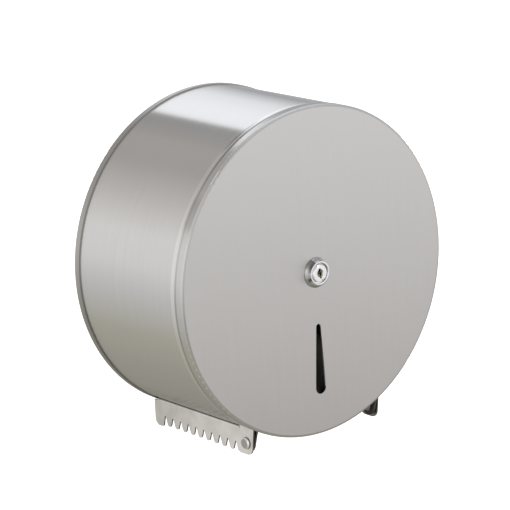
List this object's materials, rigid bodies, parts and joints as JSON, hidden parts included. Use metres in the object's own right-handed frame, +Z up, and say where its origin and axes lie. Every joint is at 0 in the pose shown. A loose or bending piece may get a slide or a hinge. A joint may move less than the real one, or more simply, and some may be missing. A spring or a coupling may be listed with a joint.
{
  "type": "jumbo toilet roll dispenser",
  "caption": "Round wall-mounted steel dispenser for one jumbo toilet roll, with a hinged locking cover, a viewing slot and toothed tear plates below.",
  "frame": {"origin": "on the drum's axis, in the plane of the wall behind the back plate", "axes": "+Y into the wall along the drum's axis, +Z up, +X to the right as seen from the front"},
  "size_m": [0.2413, 0.1306, 0.2459],
  "materials": {
    "cover": "fine vertical brushing, satin",
    "drum": "brushed round the drum, satin",
    "back_plate": "satin, darker rim",
    "tear_plate": "dull satin",
    "spindle": "drawn tube, satin",
    "rivet": "satin",
    "washer": "zinc plated",
    "hinge_ear": "dull satin",
    "lock_chrome": "polished",
    "lock_plug": "polished, fine turning marks",
    "lock_metal": "yellow zinc plated",
    "lock_brass": "stamped, dull"
  },
  "bodies": {
    "body": {"back_plate": "back_plate", "drum": "drum", "tear_plate_left": "tear_plate", "tear_plate_right": "tear_plate", "spindle_tube": "spindle", "spindle_flange": "spindle", "spindle_end_plate": "spindle", "spindle_rivets": "rivet", "hinge_rivet_left": "rivet", "hinge_rivet_right": "rivet", "hinge_washer_left": "washer", "hinge_washer_right": "washer"},
    "cover": {"front_cover": "cover", "hinge_ear_left": "hinge_ear", "hinge_ear_right": "hinge_ear", "lock_housing": "lock_chrome", "lock_nut": "lock_metal", "lock_washer": "washer"},
    "lock": {"lock_plug": "lock_plug", "lock_wafers": "lock_brass", "lock_cam": "lock_metal", "cam_washer": "washer", "cam_screw": "lock_metal"}
  },
  "joints": [
    {"name": "cover_hinge", "type": "hinge", "parent": "body", "child": "cover", "pos_m": [0, -0.1116, -0.11575], "axis": [1, 0, 0], "range_deg": [0, 180]},
    {"name": "lock_turn", "type": "hinge", "parent": "cover", "child": "lock", "pos_m": [0, -0.126, 0], "axis": [0, 1, 0], "range_deg": [0, 90]}
  ]
}
